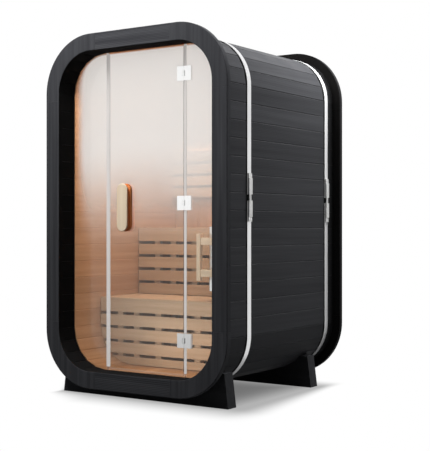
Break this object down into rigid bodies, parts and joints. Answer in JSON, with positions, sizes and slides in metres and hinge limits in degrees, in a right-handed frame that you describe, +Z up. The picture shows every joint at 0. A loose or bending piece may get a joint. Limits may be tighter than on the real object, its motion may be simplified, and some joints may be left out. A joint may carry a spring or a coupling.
{
  "type": "sauna cabin",
  "caption": "Free-standing boarded sauna cabin with rounded black trim rings, glass front and door, steel bands, tiered benches and a guarded electric heater.",
  "frame": {"origin": "centre of the cabin's bounding box at floor level, under the cradles", "axes": "+Z up; the glass front and door face -Y; +X is to the right seen from the front"},
  "size_m": [1.35, 1.39, 2.2],
  "materials": {
    "black_timber": "black stained softwood, fine straight grain",
    "sauna_timber": "bare heat-treated softwood",
    "pale_timber": "bare pale softwood",
    "polished_strap": "bright stainless strap",
    "tensioner_steel": "satin stainless",
    "clear_glass": "clear toughened glass",
    "seal_plastic": "translucent seal",
    "hinge_metal": "bright chrome",
    "screw_steel": "plain stainless",
    "light_metal": "anodised",
    "light_lens": "frosted warm white",
    "heater_steel": "brushed stainless sheet",
    "element_steel": "dark oxidised tube",
    "heater_stone": "rough dark stone",
    "black_plastic": "black moulded plastic"
  },
  "bodies": {
    "cabin": {"front_ring_boards": "black_timber", "front_ring_corners": "black_timber", "rear_ring_boards": "black_timber", "rear_ring_corners": "black_timber", "left_wall_staves": "black_timber", "right_wall_staves": "black_timber", "roof_staves": "black_timber", "floor_staves": "black_timber", "upper_corner_staves": "black_timber", "lower_corner_staves": "black_timber", "front_cradle": "black_timber", "rear_cradle": "black_timber", "rear_wall_boards": "sauna_timber", "lower_bench_slats": "sauna_timber", "lower_bench_skirt": "sauna_timber", "lower_bench_frame": "sauna_timber", "upper_bench_slats": "sauna_timber", "upper_bench_skirt": "sauna_timber", "upper_bench_frame": "sauna_timber", "backrest_boards": "sauna_timber", "backrest_supports": "sauna_timber", "vent_runners": "sauna_timber", "heater_bracket": "sauna_timber", "guard_posts": "pale_timber", "guard_rails": "pale_timber", "front_band": "polished_strap", "rear_band": "polished_strap", "band_rivets": "polished_strap", "tension_blocks": "tensioner_steel", "tension_studs": "tensioner_steel", "left_glass_pane": "clear_glass", "right_glass_pane": "clear_glass", "fixed_pane_seals": "seal_plastic", "fixed_hinge_leaves": "hinge_metal", "fixed_hinge_plates": "hinge_metal", "fixed_hinge_screws": "screw_steel", "hinge_pins": "screw_steel", "cradle_screws": "screw_steel", "light_channel": "light_metal", "light_diffuser": "light_lens", "heater_casing": "heater_steel", "heater_stone_grate": "heater_steel", "heater_elements": "element_steel", "heater_stones": "heater_stone", "heater_gland": "black_plastic", "vent_grille": "black_plastic"},
    "door": {"door_glass_pane": "clear_glass", "door_seals": "seal_plastic", "door_hinge_leaves": "hinge_metal", "door_hinge_plates": "hinge_metal", "door_hinge_screws": "screw_steel", "outer_handle": "pale_timber", "inner_handle": "pale_timber", "handle_bolts": "screw_steel"},
    "front_tension_nut": {"front_tension_nut": "tensioner_steel"},
    "rear_tension_nut": {"rear_tension_nut": "tensioner_steel"},
    "vent_shutter": {"vent_shutter": "sauna_timber"},
    "timer_knob": {"timer_knob": "black_plastic"},
    "thermostat_knob": {"thermostat_knob": "black_plastic"}
  },
  "joints": [
    {"name": "door_swing", "type": "hinge", "parent": "cabin", "child": "door", "pos_m": [0.279, -0.551, 1.13], "axis": [0, 0, 1], "range_deg": [0, 95]},
    {"name": "front_nut_turn", "type": "hinge", "parent": "cabin", "child": "front_tension_nut", "pos_m": [0.6273, -0.379, 1.2], "axis": [0, 0, 1], "range_deg": [-180, 180]},
    {"name": "rear_nut_turn", "type": "hinge", "parent": "cabin", "child": "rear_tension_nut", "pos_m": [0.6273, 0.569, 1.2], "axis": [0, 0, 1], "range_deg": [-180, 180]},
    {"name": "vent_slide", "type": "slide", "parent": "cabin", "child": "vent_shutter", "axis": [1, 0, 0], "range_m": [-0.105, 0]},
    {"name": "timer_turn", "type": "hinge", "parent": "cabin", "child": "timer_knob", "pos_m": [0.227, -0.125, 0.685], "axis": [-1, 0, 0], "range_deg": [0, 300]},
    {"name": "thermostat_turn", "type": "hinge", "parent": "cabin", "child": "thermostat_knob", "pos_m": [0.227, -0.035, 0.685], "axis": [-1, 0, 0], "range_deg": [0, 270]}
  ]
}
